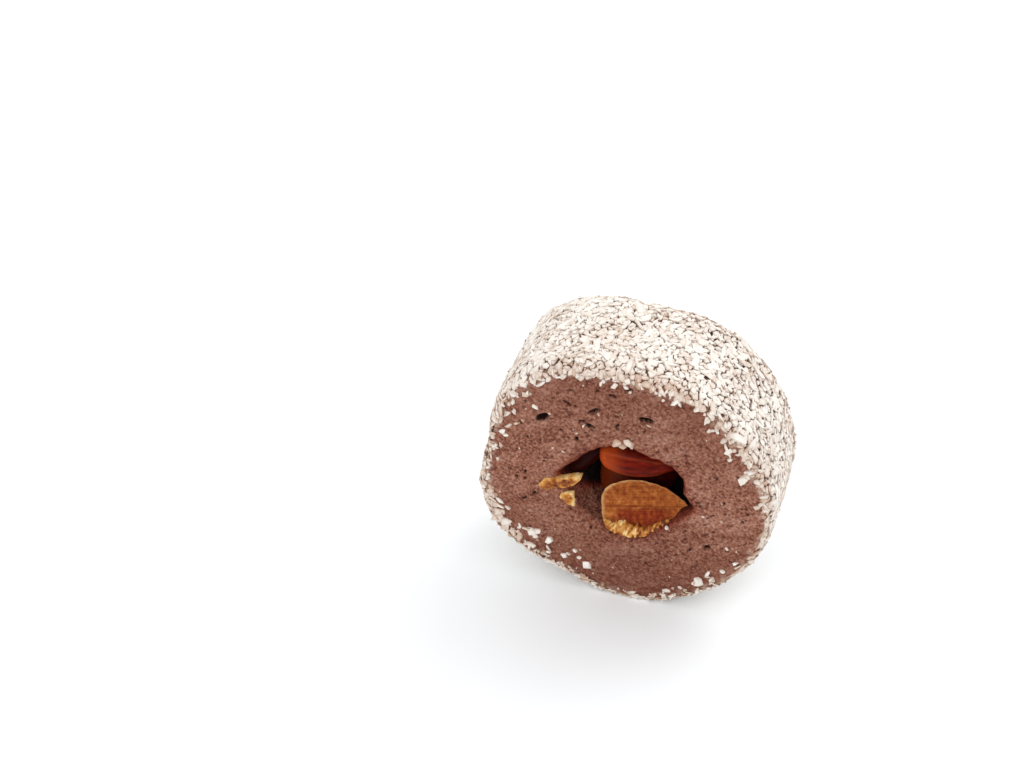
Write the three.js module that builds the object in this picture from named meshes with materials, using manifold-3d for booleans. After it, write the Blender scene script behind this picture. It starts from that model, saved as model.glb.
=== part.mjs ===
// A short roll of chocolate nougat lokum, rolled in coconut flakes round a core of almonds and cut to length.
// Millimetres, +Z up. The roll lies on its side: its axis runs along Y and the shown cut face looks to -Y.
import * as THREE from 'three';
import { mergeVertices } from 'three/addons/utils/BufferGeometryUtils.js';
import Module from 'manifold-3d';

const wasm = await Module();
wasm.setup();

// Driving dimensions of the roll
const rollDiameter = 55; // mean, over the coconut coat
const rollLength = 25.7; // between the two cut faces
const axisX = -0.5; // the uneven section reaches further to the right, so its axis stands left of the middle
const axisZ = 26.8; // height of the axis over the table
const frontRim = { inset: 0.95, depth: 3.3 }; // cut edge: share of the radius left, and depth of the rounding
const rearRim = { inset: 0.88, depth: 5.5 };
const faceCrown = 0.5; // how far the middle of a cut face stands out
const crownRing = { radius: 0.58, share: 0.7 }; // where the crown falls, as shares of radius and crown
const roundOverStops = [0, 0.12, 0.4, 1]; // shares of a rim's depth that get a ring of corners
const sectionSteps = 64;
const tableClear = 0.9; // flakes lower than this would be under the roll

// Places where the soft section swells or lies flat: angle from +X towards +Z, half width in degrees, height
const swells = {
  upperLeftShoulder: [128, 20, 1.6],
  leftCheek: [208, 19, 1.4],
  rightSide: [345, 30, 0.8],
  lowerRight: [295, 18, 0.4],
  topFlat: [84, 18, -1.3],
  upperRightFlat: [40, 18, -0.4],
  leftFlat: [171, 12, -1.1],
  lowerLeftDent: [246, 13, -1.5],
};

// The hollows round the almonds: outline of the front mouth, as x from the axis and z, and sizes at both ends
const mouth = [
  [-12.6, 27.6], [-9.8, 30.6], [-5.6, 35.3], [0, 37.6], [4.4, 36.3], [9.4, 34.6], [11.5, 31.8], [11.7, 29],
  [13.4, 26.1], [11.3, 23.2], [9.4, 20.8], [4, 17.1], [-1.5, 16.3], [-5.6, 17.6], [-8.8, 20.4], [-9.9, 24.4],
];
const mouthMiddle = { x: 1, z: 26.4 };
const frontHollow = { end: -1, depth: 13.6, mouthScale: 1.02, innerScale: 0.57, sink: 2.6 };
const rearHollow = { end: 1, depth: 8.4, mouthScale: 0.94, innerScale: 0.7, sink: 0 };
const hollowNarrowing = 1.5; // power of the depth that a hollow draws together with
const mouthSteps = 40;
const hollowSteps = 5;
const hollowOvershoot = 2; // past the cut face

// Almonds: size, middle of the kernel (x from the roll's axis) and turns about X, Y and Z in degrees
const pocketGap = 0.3; // clear space between a kernel or chip and the nougat that holds it
const almonds = {
  almond_upper: { length: 15, width: 9.4, thickness: 7, at: [2.6, -9, 31.9], turn: [-35, 0, -3] },
  almond_behind: { length: 16.4, width: 10.2, thickness: 7, at: [1.6, -1.1, 21.5], turn: [50, 4, 8] },
  almond_left: { length: 14.5, width: 8.8, thickness: 6.6, at: [-10.4, -4.2, 26.4], turn: [0, -36, 0] },
  almond_rear_upper: { length: 16, width: 9.2, thickness: 6.8, at: [3.8, 8, 30.7], turn: [24, 8, -8] },
  almond_rear_lower: { length: 17, width: 10.2, thickness: 6.6, at: [1.2, 8.8, 21.9], turn: [-52, 4, 6] },
};
const splitAlmond = {
  length: 17.2, width: 10.2, thickness: 7, at: [4.1, -10.2, 21], turn: [57.6, -8.5, 13.5],
};
const kernelForm = { point: 0.58, blunt: 0.36, slim: 0.28 }; // drawn out at the tip, full at the blunt end
const almondSides = 16;
const almondRings = 10;
const frayedRim = {
  thickness: 1.5, height: 2.4, from: 18, to: 131, reach: 0.8, ripple: 0.15, waves: 19, steps: 18,
}; // runs along the split kernel's lower edge, from one turn of its outline to another
const rimEndGrowth = 10; // degrees of turn that each end of the rim moves out for a millimetre of extra size
const rimCurveSegments = 4;

// Golden chips of almond stuck to the cut faces: outline as x from the axis and z, and how far they are sunk
const chipEdge = 0.25; // how far a chip's edges are broken off
const chips = {
  chip_upper: {
    outline: [
      [-15.9, 24], [-14.8, 25.8], [-11.4, 26.7], [-9.3, 27.7], [-7.6, 28.1], [-8.3, 26.5], [-9.8, 25.1],
      [-12.2, 24.5], [-13.8, 23.4], [-15.2, 23.3],
    ],
    front: -13.5, back: -11.6,
  },
  chip_lower: {
    outline: [[-11.5, 22.3], [-11.3, 23.2], [-8.9, 24], [-8.7, 20.7], [-9.8, 20.5], [-10.7, 21.5]],
    front: -13.5, back: -12.2,
  },
  chip_rear: {
    outline: [[-12, 22.2], [-9.2, 24.8], [-7.2, 22.6], [-8.2, 19.4], [-10.8, 19.2]],
    front: 12, back: 13.5,
  },
};

// Coconut flakes: sizes, unevenness, and how they lie on the coat and round the cut edges
const flakeSeed = 20;
const flakeSize = { length: [2.2, 3.8], width: [1.5, 2.4], thickness: [0.9, 1.3] };
const flakeSides = 4;
const flakeForm = { topShare: 0.72, uneven: 0.2, tip: 0.3 };
const coatRows = 6;
const coatRowEnds = { front: 0.6, rear: 0.8 }; // first and last row, as shares of the rim's depth
const coatJitter = { column: 0.25, along: 1 };
const coatColumns = 28;
const rimFlake = { count: 16, jitter: 0.3, inset: 0.01, spread: 0.03, lean: 0.5, size: 0.8 };
const roofFlakeSize = 0.7;
const roofCluster = [[-1.4, 38.2], [0.4, 39], [1.5, 38.1]]; // caught over the mouth, x from the axis and z

const nougatLook = new THREE.MeshStandardMaterial({ color: 0x8f6353, roughness: 0.75, metalness: 0 });
const almondSkinLook = new THREE.MeshStandardMaterial({ color: 0x72301e, roughness: 0.4, metalness: 0 });
const almondFleshLook = new THREE.MeshStandardMaterial({ color: 0x9e5934, roughness: 0.55, metalness: 0 });
const chipLook = new THREE.MeshStandardMaterial({ color: 0xb88350, roughness: 0.6, metalness: 0 });

const rad = THREE.MathUtils.degToRad;
const weld = 1e-4; // corners closer than this are one

// A repeatable stream of numbers from 0 to 1
function seededRandom(seed) {
  const multiplier = 1664525;
  const increment = 1013904223;
  const modulus = 2 ** 32;
  let state = seed;
  return () => {
    state = (state * multiplier + increment) % modulus;
    return state / modulus;
  };
}

// A random number from -1 to 1
function spread(random) {
  return 2 * random() - 1;
}

// A closed geometry as a solid: shared corners are merged and faces that have shrunk to a line are dropped
function solidFrom(geometry) {
  const bare = geometry.clone();
  bare.deleteAttribute('normal');
  bare.deleteAttribute('uv');
  const merged = mergeVertices(bare, weld);
  const corners = [];
  const index = merged.index.array;
  for (let i = 0; i < index.length; i += 3) {
    const [a, b, c] = index.slice(i, i + 3);
    if (a !== b && b !== c && c !== a) corners.push(a, b, c);
  }
  const vertProperties = new Float32Array(merged.attributes.position.array);
  const triVerts = new Uint32Array(corners);
  return new wasm.Manifold(new wasm.Mesh({ numProp: 3, vertProperties, triVerts }));
}

function geometryFrom(solid) {
  const { vertProperties, triVerts, numProp, numVert } = solid.getMesh();
  const positions = new Float32Array(numVert * 3);
  for (let i = 0; i < numVert; i++) {
    positions.set(vertProperties.subarray(i * numProp, i * numProp + 3), i * 3);
  }
  const geometry = new THREE.BufferGeometry();
  geometry.setAttribute('position', new THREE.BufferAttribute(positions, 3));
  geometry.setIndex(new THREE.BufferAttribute(triVerts, 1));
  geometry.computeVertexNormals();
  return geometry;
}

// The outer skin of the largest body: loose scraps go and sealed hollows are filled
function largestBody(solid) {
  return solid.decompose().reduce((best, body) => (body.volume() > best.volume() ? body : best));
}

// Moves every corner of a geometry by a function
function reshape(geometry, move) {
  const place = geometry.attributes.position;
  const corner = new THREE.Vector3();
  for (let i = 0; i < place.count; i++) {
    move(corner.fromBufferAttribute(place, i));
    place.setXYZ(i, corner.x, corner.y, corner.z);
  }
  return geometry;
}

// Radius of the roll's section at an angle from +X towards +Z
function sectionRadius(angle) {
  const degrees = THREE.MathUtils.radToDeg(angle);
  return Object.values(swells).reduce((radius, [at, halfWidth, height]) => {
    const away = THREE.MathUtils.euclideanModulo(degrees - at + 180, 360) - 180;
    return radius + height * Math.exp(-((away / halfWidth) ** 2));
  }, rollDiameter / 2);
}

// The roll: a lathe of unit radius, with both cut edges rounded over, swollen to the section
function rollSolid() {
  const half = rollLength / 2;
  const roundOver = (rim, end) =>
    roundOverStops.map((t) => {
      const share = 1 - (1 - rim.inset) * (1 - t) ** 2;
      return new THREE.Vector2(share, end * (half - rim.depth * t));
    });
  const profile = [
    new THREE.Vector2(0, -half - faceCrown),
    new THREE.Vector2(crownRing.radius, -half - faceCrown * crownRing.share),
    ...roundOver(frontRim, -1),
    ...roundOver(rearRim, 1).reverse(),
    new THREE.Vector2(crownRing.radius, half + faceCrown * crownRing.share),
    new THREE.Vector2(0, half + faceCrown),
  ];
  const lathe = new THREE.LatheGeometry(profile, sectionSteps);
  reshape(lathe, (p) => {
    const swell = sectionRadius(Math.atan2(p.z, p.x));
    p.set(axisX + p.x * swell, p.y, axisZ + p.z * swell);
  });
  return solidFrom(lathe);
}

// A hollow: the mouth's outline carried in from one cut face, drawing together and sinking to its inner end
function hollowGeometry({ end, depth, mouthScale, innerScale, sink }) {
  const ring = new THREE.CatmullRomCurve3(mouth.map(([x, z]) => new THREE.Vector3(x, z, 0)), true);
  const edge = ring.getSpacedPoints(mouthSteps).slice(0, -1);
  const outline = new THREE.Shape(edge.map((p) => new THREE.Vector2(p.x, p.y)));
  const run = depth + hollowOvershoot;
  const hollow = new THREE.ExtrudeGeometry(outline, { depth: run, steps: hollowSteps, bevelEnabled: false });
  const outerY = end * (rollLength / 2 + hollowOvershoot);
  const startY = end < 0 ? outerY + run : outerY;
  return reshape(hollow, (p) => {
    const y = startY - p.z;
    const inwards = Math.abs(y - outerY) / run;
    const scale = mouthScale * (1 - (1 - innerScale) * inwards ** hollowNarrowing);
    const x = mouthMiddle.x + (p.x - mouthMiddle.x) * scale;
    p.set(axisX + x, y, mouthMiddle.z + (p.y - mouthMiddle.z) * scale - sink * inwards);
  });
}

// Half girth of a kernel of unit size, at a turn from its blunt end to its tip
function kernelGirth(turn) {
  const along = -Math.cos(turn);
  const power = 1 + (kernelForm.point * (1 + along)) / 2 - (kernelForm.blunt * (1 - along)) / 2;
  return Math.sin(turn) ** power * (1 - kernelForm.slim * along);
}

// An almond kernel: blunt end at -X, tip at +X, wide along Y and thin along Z
function almondGeometry({ length, width, thickness }, extra = 0) {
  const outline = [];
  for (let i = 0; i <= almondRings; i++) {
    const turn = Math.PI * (i / almondRings);
    const girth = i === 0 || i === almondRings ? 0 : kernelGirth(turn);
    outline.push(new THREE.Vector2(girth, -Math.cos(turn)));
  }
  const kernel = new THREE.LatheGeometry(outline, almondSides);
  return reshape(kernel, (p) => {
    p.set((p.y * (length + extra)) / 2, (-p.x * (width + extra)) / 2, (p.z * (thickness + extra)) / 2);
  });
}

function placed(mesh, at, turn) {
  mesh.position.set(axisX + at[0], at[1], at[2]);
  mesh.rotation.set(...turn.map(rad));
  mesh.updateMatrix();
  return mesh;
}

function namedMesh(name, geometry, look) {
  const mesh = new THREE.Mesh(geometry, look);
  mesh.name = name;
  return mesh;
}

// The split kernel: half an almond, its flat face up, with the torn rim standing along its lower edge
function splitAlmondSolid(extra = 0) {
  const { length, width, thickness } = splitAlmond;
  const away = new THREE.BoxGeometry(2 * length, 2 * width, thickness);
  away.translate(0, 0, (thickness + extra) / 2);
  const half = solidFrom(almondGeometry(splitAlmond, extra)).subtract(solidFrom(away));
  const { steps, ripple, waves, reach } = frayedRim;
  const from = frayedRim.from - rimEndGrowth * extra;
  const to = frayedRim.to + rimEndGrowth * extra;
  const path = [];
  for (let i = 0; i <= steps; i++) {
    const turn = rad(THREE.MathUtils.lerp(from, to, i / steps));
    const across = (reach * width * kernelGirth(turn)) / 2 + ripple * Math.sin(waves * turn);
    path.push(new THREE.Vector3((-reach * length * Math.cos(turn)) / 2, -across, 0));
  }
  const section = new THREE.Shape();
  section.absellipse(0, 0, (frayedRim.height + extra) / 2, (frayedRim.thickness + extra) / 2, 0, 2 * Math.PI);
  const extrudePath = new THREE.CatmullRomCurve3(path);
  const rim = new THREE.ExtrudeGeometry(section, { curveSegments: rimCurveSegments, steps, extrudePath });
  return largestBody(half.add(solidFrom(rim)));
}

// A chip: a flat shard with broken edges, whose outline lies in the cut face
function chipGeometry({ outline, front, back }, extra = 0) {
  const shape = new THREE.Shape(outline.map(([x, z]) => new THREE.Vector2(x, z)));
  const shard = new THREE.ExtrudeGeometry(shape, {
    depth: back - front + 2 * (extra - chipEdge),
    bevelThickness: chipEdge,
    bevelSize: chipEdge,
    bevelOffset: extra - chipEdge,
    bevelSegments: 1,
  });
  return reshape(shard, (p) => p.set(axisX + p.x, back + extra - chipEdge - p.z, p.y));
}

// A coconut flake: an uneven four-sided plate of unit size, flat along its own Z
function flakeGeometry(random) {
  const plate = new THREE.CylinderGeometry(flakeForm.topShare / 2, 1 / 2, 1, flakeSides);
  plate.deleteAttribute('normal');
  plate.deleteAttribute('uv');
  plate.rotateX(Math.PI / 2);
  const whole = mergeVertices(plate, weld);
  return reshape(whole, (p) => {
    const across = 1 + flakeForm.uneven * spread(random);
    p.set(p.x * across, p.y * across, p.z * (1 + flakeForm.uneven * spread(random)));
  });
}

// One flake laid on the surface at a point, half sunk, turned at random and tipped a little off the surface
function laidFlake(point, outwards, random, share = 1) {
  const between = ([low, high]) => share * THREE.MathUtils.lerp(low, high, random());
  const { length, width, thickness } = flakeSize;
  const tip = new THREE.Vector3(spread(random), spread(random), spread(random)).multiplyScalar(flakeForm.tip);
  const up = outwards.clone().add(tip).normalize();
  const stand = new THREE.Quaternion().setFromUnitVectors(new THREE.Vector3(0, 0, 1), up);
  const spin = new THREE.Quaternion().setFromAxisAngle(up, 2 * Math.PI * random());
  const size = new THREE.Vector3(between(length), between(width), between(thickness));
  const flake = flakeGeometry(random);
  flake.applyMatrix4(new THREE.Matrix4().compose(point, spin.multiply(stand), size));
  return solidFrom(flake);
}

// A point of the coat and the direction that it faces
function coatSite(angle, y) {
  const swell = sectionRadius(angle);
  const step = rad(0.5);
  const slope = (sectionRadius(angle + step) - sectionRadius(angle - step)) / (2 * step * swell);
  const [along, up] = [Math.cos(angle), Math.sin(angle)];
  const outwards = new THREE.Vector3(along + slope * up, 0, up - slope * along).normalize();
  return { point: new THREE.Vector3(axisX + swell * along, y, axisZ + swell * up), outwards };
}

// All flakes: staggered rows over the coat, a ring round each cut edge, and the few caught above the mouth
function flakeSolids() {
  const random = seededRandom(flakeSeed);
  const flakes = [];
  const lay = (point, outwards, share) => {
    if (point.z > tableClear) flakes.push(laidFlake(point, outwards, random, share));
  };
  const firstRow = -rollLength / 2 + frontRim.depth * coatRowEnds.front;
  const lastRow = rollLength / 2 - rearRim.depth * coatRowEnds.rear;
  for (let row = 0; row < coatRows; row++) {
    for (let column = 0; column < coatColumns; column++) {
      const turn = (column + (row % 2) / 2 + coatJitter.column * spread(random)) / coatColumns;
      const rowY = THREE.MathUtils.lerp(firstRow, lastRow, row / (coatRows - 1));
      const { point, outwards } = coatSite(2 * Math.PI * turn, rowY + coatJitter.along * spread(random));
      lay(point, outwards, 1);
    }
  }
  [[-1, frontRim], [1, rearRim]].forEach(([end, rim]) => {
    for (let i = 0; i < rimFlake.count; i++) {
      const turn = (i + rimFlake.jitter * spread(random)) / rimFlake.count;
      const { point, outwards } = coatSite(2 * Math.PI * turn, (end * rollLength) / 2);
      const inset = rim.inset - rimFlake.inset - rimFlake.spread * random();
      point.set(axisX + (point.x - axisX) * inset, point.y, axisZ + (point.z - axisZ) * inset);
      const leaning = outwards.multiplyScalar(rimFlake.lean).add(new THREE.Vector3(0, end, 0)).normalize();
      lay(point, leaning, rimFlake.size);
    }
  });
  roofCluster.forEach(([x, z]) => {
    const point = new THREE.Vector3(axisX + x, -(rollLength + faceCrown) / 2, z);
    lay(point, new THREE.Vector3(0, -1, 0), roofFlakeSize);
  });
  return flakes;
}

// Sub-parts
const turkishDelight = new THREE.Group();
const pockets = [];

Object.entries(almonds).forEach(([name, kernel]) => {
  const mesh = placed(namedMesh(name, almondGeometry(kernel), almondSkinLook), kernel.at, kernel.turn);
  pockets.push(solidFrom(almondGeometry(kernel, 2 * pocketGap).applyMatrix4(mesh.matrix)));
  turkishDelight.add(mesh);
});

const splitGeometry = geometryFrom(splitAlmondSolid());
const splitMesh = namedMesh('almond_split', splitGeometry, almondFleshLook);
const split = placed(splitMesh, splitAlmond.at, splitAlmond.turn);
pockets.push(solidFrom(geometryFrom(splitAlmondSolid(2 * pocketGap)).applyMatrix4(split.matrix)));
turkishDelight.add(split);

Object.entries(chips).forEach(([name, chip]) => {
  pockets.push(solidFrom(chipGeometry(chip, pocketGap)));
  turkishDelight.add(namedMesh(name, chipGeometry(chip), chipLook));
});

const hollows = [frontHollow, rearHollow].map((hollow) => solidFrom(hollowGeometry(hollow)));
const hollowRoll = [...hollows, ...pockets].reduce((roll, cut) => roll.subtract(cut), rollSolid());
const coated = flakeSolids().reduce((roll, flake) => roll.add(flake), hollowRoll);
const table = new THREE.BoxGeometry(2 * rollDiameter, 2 * rollDiameter, rollDiameter);
table.translate(0, 0, -rollDiameter / 2);
const settled = largestBody(coated.subtract(solidFrom(table)));
turkishDelight.add(namedMesh('nougat_roll', geometryFrom(settled), nougatLook));

export default turkishDelight;
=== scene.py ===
# A short roll of chocolate nougat lokum in a coconut coat, on its side, with roasted almonds in its hollow
import math
from functools import partial

import bpy
import numpy as np
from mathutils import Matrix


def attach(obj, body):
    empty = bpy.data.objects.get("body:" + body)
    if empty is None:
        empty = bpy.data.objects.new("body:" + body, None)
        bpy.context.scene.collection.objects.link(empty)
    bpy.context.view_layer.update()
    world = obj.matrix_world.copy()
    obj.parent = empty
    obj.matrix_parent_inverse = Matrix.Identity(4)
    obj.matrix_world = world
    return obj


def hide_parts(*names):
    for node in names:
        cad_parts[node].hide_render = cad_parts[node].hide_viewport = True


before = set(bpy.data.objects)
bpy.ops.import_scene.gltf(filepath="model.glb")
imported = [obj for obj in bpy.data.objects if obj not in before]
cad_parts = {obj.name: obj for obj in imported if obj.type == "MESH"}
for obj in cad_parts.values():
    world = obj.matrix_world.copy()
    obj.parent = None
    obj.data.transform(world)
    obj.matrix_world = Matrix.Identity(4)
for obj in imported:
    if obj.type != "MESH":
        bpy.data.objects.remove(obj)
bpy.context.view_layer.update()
mm = 0.001  # shapes are worked out in millimetres and put into the meshes in metres
print("frame loaded with", len(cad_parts), "nodes")


def hexColor(code):
    # sRGB to linear: the dark end is divided by 12.92, the rest follows a power of 2.4
    srgb = np.array([int(code[i:i + 2], 16) for i in (1, 3, 5)]) / 255
    linear = np.where(srgb <= 0.04045, srgb / 12.92, ((srgb + 0.055) / 1.055) ** 2.4)
    return (*linear.tolist(), 1.0)


def addNode(tree, kind, inputs=(), stops=(), **settings):
    # inputs, by name or in the order of the sockets, are values and hex colours to set or sockets and nodes
    # to link; a node gives its first live output. Stops are a colour ramp's places and colours.
    node = tree.nodes.new("ShaderNode" + kind)
    for name, value in settings.items():
        setattr(node, name, value)
    for key, value in inputs.items() if isinstance(inputs, dict) else enumerate(inputs):
        if isinstance(value, bpy.types.Node):
            value = next(socket for socket in value.outputs if socket.enabled)
        if isinstance(value, bpy.types.NodeSocket):
            tree.links.new(value, node.inputs[key])
        else:
            node.inputs[key].default_value = hexColor(value) if isinstance(value, str) else value
    if stops:
        ramp = node.color_ramp.elements
        while len(ramp) < len(stops):
            ramp.new(1)
        for element, (place, code) in zip(ramp, stops):
            element.position = place
            element.color = hexColor(code)
    return node


def makeMaterial(paint):
    # paint adds the nodes and gives what goes into the shader; the material takes that function's name
    material = bpy.data.materials.new(paint.__name__)
    material.use_nodes = True
    material.node_tree.nodes.clear()
    add = partial(addNode, material.node_tree)
    shader = add("BsdfPrincipled", paint(add, add("TexCoord").outputs["Object"]))
    add("OutputMaterial", {"Surface": shader})
    return material


def foodInputs(add, colour, grain, height, rough, bump, ior, specular):
    # what the shader of a food takes: a grain makes it rough between two values, and a height makes it bumpy
    # with a strength and a depth in millimetres
    strength, depth = bump
    return {
        "Base Color": colour, "Roughness": add("MapRange", [grain, 0.3, 0.7, *rough]),
        "Normal": add("Bump", {"Strength": strength, "Distance": depth * mm, "Height": height}),
        "IOR": ior, "Specular IOR Level": specular,
    }


def perMetre(size):
    return 1 / (size * mm)  # texture scale for a pattern of that size in millimetres


def smoothStep(value, low, high):
    share = np.clip((value - low) / (high - low), 0, 1)
    return share * share * (3 - 2 * share)


# How far a seed moves the lattice of the noise, the weights of the hash and how far apart it throws them
noise = {"seedStep": 17.31, "weights": (127.1, 311.7, 74.7), "throw": 43758.5453}


def lumps(points, size, seed):
    # value noise from -1 to 1: hashed numbers at the corners of a lattice of that size, blended smoothly
    place = points / size + noise["seedStep"] * seed
    cell = np.floor(place)
    share = smoothStep(place - cell, 0, 1)
    total = np.zeros(place.shape[:-1])
    for corner in np.ndindex(2, 2, 2):
        hashed = np.sin((cell + corner) @ np.array(noise["weights"])) * noise["throw"]
        weight = np.where(np.array(corner) == 1, share, 1 - share).prod(axis=-1)
        total += weight * (hashed - np.floor(hashed))
    return 2 * total - 1


def reliefAt(points, relief, seed):
    return sum(height * lumps(points, size, seed) for size, height in relief)


def fullTurn(count):
    return np.linspace(0, 2 * np.pi, count, endpoint=False)


def swellsAt(degrees, swells):
    # rounded swells over an angle, each with its place, half width and height
    return sum(height * np.exp(-((degrees - place) / width) ** 2) for place, width, height in swells)


def sideBySide(*parts):
    # numbers and arrays, brought to one shape, as the columns of a last axis
    return np.stack(np.broadcast_arrays(*parts), axis=-1)


def unit(vectors):
    return vectors / np.linalg.norm(vectors, axis=-1, keepdims=True)


def closeSkin(rings):
    # each ring of points is joined to the next by quads, and the end rings close in a fan on their middle
    rows, columns = rings.shape[:2]
    index = np.arange(rows * columns).reshape(rows, columns)
    after = np.roll(index, -1, axis=1)
    quads = sideBySide(index[:-1], index[1:], after[1:], after[:-1]).reshape(-1, 4)
    pole = rows * columns
    fans = np.concatenate([sideBySide(pole, index[0], after[0]), sideBySide(index[-1], pole + 1, after[-1])])
    points = np.concatenate([rings.reshape(pole, -1), rings[[0, -1]].mean(axis=1)])
    return points, [quads, fans]


def makePiece(name, points, faces, slot, stands, marks, smooth=True):
    # faces are index arrays, one for each number of corners; marks are numbers that the material reads
    mesh = bpy.data.meshes.new(name)
    mesh.vertices.add(len(points))
    mesh.vertices.foreach_set("co", (points * mm).astype(np.float32).ravel())
    corners = np.concatenate([part.ravel() for part in faces])
    sizes = np.concatenate([np.full(len(part), part.shape[1]) for part in faces])
    mesh.loops.add(len(corners))
    mesh.loops.foreach_set("vertex_index", corners.astype(np.int32))
    mesh.polygons.add(len(sizes))
    mesh.polygons.foreach_set("loop_start", (np.cumsum(sizes) - sizes).astype(np.int32))
    mesh.polygons.foreach_set("use_smooth", np.full(len(sizes), smooth))
    for mark, values in marks.items():
        flat = values.ndim == 1
        layer = mesh.attributes.new(mark, "FLOAT" if flat else "FLOAT_VECTOR", "POINT")
        layer.data.foreach_set("value" if flat else "vector", values.astype(np.float32).ravel())
    mesh.update(calc_edges=True)
    mesh.validate()
    mesh.materials.append(looks[slot])
    piece = bpy.data.objects.new(name, mesh)
    bpy.context.scene.collection.objects.link(piece)
    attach(piece, "root")
    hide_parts(*stands)
    print(name, "has", int((sizes - 2).sum()), "triangles")


# In the materials a mix has its share at socket 0 and its colours at 6 and 7. A map range takes a value, the
# low and high that it comes from, and the low and high that it goes to.

# Nougat: cocoa beaten with egg white and set, then sliced. The cut is matt and mottled, with a fine crumb,
# small dark pits, burst air bubbles darkened inside with painted shade and a few pale sugar grains. Painted
# shade darkens it towards the table and the top, most in the hollow. Coconut dust makes it paler under the
# coat.
def chocolateNougat(add, place):
    poreShade, dust, hollowShade = (
        add("Attribute", attribute_name=mark).outputs["Fac"] for mark in ("poreShade", "dust", "hollowShade"))
    stir = add("TexNoise", {"Vector": place, "Scale": perMetre(1.1), "Detail": 3.0})
    stirred = add("VectorMath", [
        stir.outputs["Color"], (0.9 * mm, 0.9 * mm, 0.9 * mm), place,
    ], operation="MULTIPLY_ADD")
    smeared = add("Mapping", {
        "Vector": stirred, "Rotation": (0, -0.4, 0), "Scale": (2.2, 1, 1),
    }, vector_type="TEXTURE")
    mottle = add("TexNoise", {
        "Vector": smeared, "Scale": perMetre(3.6), "Detail": 7.0, "Roughness": 0.72,
    })
    mottleColor = add("ValToRGB", [mottle], [
        (0.34, "#55271A"), (0.45, "#7F4B38"), (0.54, "#9A6652"), (0.66, "#BF917E"),
    ])
    crumb = add("TexNoise", {
        "Vector": stirred, "Scale": perMetre(0.55), "Detail": 4.0, "Roughness": 0.6,
    })
    crumbColor = add("ValToRGB", [crumb], [
        (0.33, "#2A0D07"), (0.43, "#6E3A2A"), (0.5, "#95604C"), (0.62, "#B58773"), (0.74, "#D0AC9B"),
    ])
    ground = add("Mix", {0: 0.6, 6: mottleColor, 7: crumbColor}, data_type="RGBA")
    leaning = add("Mapping", {
        "Vector": stirred, "Rotation": (0, -0.5, 0), "Scale": (1.6, 1, 1),
    }, vector_type="TEXTURE")
    dots = []  # one in each cell whose number is over the least
    for vector, size, least, most in ((leaning, 0.75, 0.5, 0.5), (stirred, 1.9, 0.8, 0.12)):
        cells = add("TexVoronoi", {"Vector": vector, "Scale": perMetre(size)})
        dotSize = add("MapRange", [cells.outputs["Color"], least, 1.0, 0.0, most])
        dots.append(add("Math", [cells, dotSize], operation="LESS_THAN"))
    pits, grains = dots
    pitShade = add("Math", [pits, 0.7], operation="MULTIPLY")
    patches = add("TexNoise", {"Vector": place, "Scale": perMetre(0.9), "Detail": 4.0})
    dustMask = add("MapRange", [patches, 0.4, 0.62, 0.05, 0.9])
    dusted = add("Math", [dustMask, dust], operation="MULTIPLY")
    # Painted shade: darker towards the table, and towards the top under the coat's overhang
    above = add("SeparateXYZ", [place]).outputs["Z"]
    lowShade = add("MapRange", [above, 26 * mm, 2 * mm, 0.0, 0.5])
    highShade = add("MapRange", [above, 32 * mm, 48 * mm, 0.0, 0.32])
    heightShade = add("Math", [lowShade, highShade], operation="MAXIMUM")
    # Over the ground: dark specks, painted shade in the bubbles' dents, sugar grains, coconut dust and
    # painted shade by height
    unshaded = ground
    for mask, code in (
        (pitShade, "#42160E"), (poreShade, "#0C0402"), (grains, "#D2B3A2"), (dusted, "#CBAE9C"),
        (heightShade, "#5A2A1C"),
    ):
        unshaded = add("Mix", {0: mask, 6: unshaded, 7: code}, data_type="RGBA")
    # Painted shade in the hollow and round its mouth: reddish at first, near black deep in
    hollowShadeColor = add("ValToRGB", [hollowShade], [
        (0.0, "#FFFFFF"), (0.3, "#D69A86"), (0.6, "#924B37"), (1.0, "#1C0705"),
    ])
    colour = add("Mix", {0: 1.0, 6: unshaded, 7: hollowShadeColor}, data_type="RGBA", blend_type="MULTIPLY")
    height = add("Math", [crumb, pits], operation="SUBTRACT")
    return foodInputs(add, colour, crumb, height, rough=(0.65, 0.9), bump=(1.0, 0.5), ior=1.45, specular=0.2)


# Coconut: dried flesh cut to flakes. Each flake is matt and near white, some creamier, with edges that have
# picked up brown from the nougat and painted shade on their sides, where the flakes meet.
def driedCoconut(add, place):
    tone, edge = (
        add("Attribute", attribute_name=mark).outputs["Fac"] for mark in ("tone", "edge"))
    flakeColor = add("ValToRGB", [tone], [
        (0.0, "#A5846C"), (0.06, "#CBB3A1"), (0.2, "#DED3C8"), (0.5, "#E8E2DA"), (1.0, "#F1EEE7"),
    ])
    fibre = add("TexNoise", {"Vector": place, "Scale": perMetre(0.5), "Detail": 4.0})
    area = add("TexNoise", {"Vector": place, "Scale": perMetre(7), "Detail": 3.0})
    soaked = add("MapRange", [area, 0.38, 0.62, 0.25, 0.8])
    # The edge mark is brown from the nougat plus painted shade on the flakes' sides where they meet
    stainAndShade = add("Math", [edge, soaked], operation="MULTIPLY")
    colour = add("Mix", {0: stainAndShade, 6: flakeColor, 7: "#A2785A"}, data_type="RGBA")
    return foodInputs(add, colour, fibre, fibre, rough=(0.5, 0.75), bump=(0.3, 0.1), ior=1.45, specular=0.3)
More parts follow.
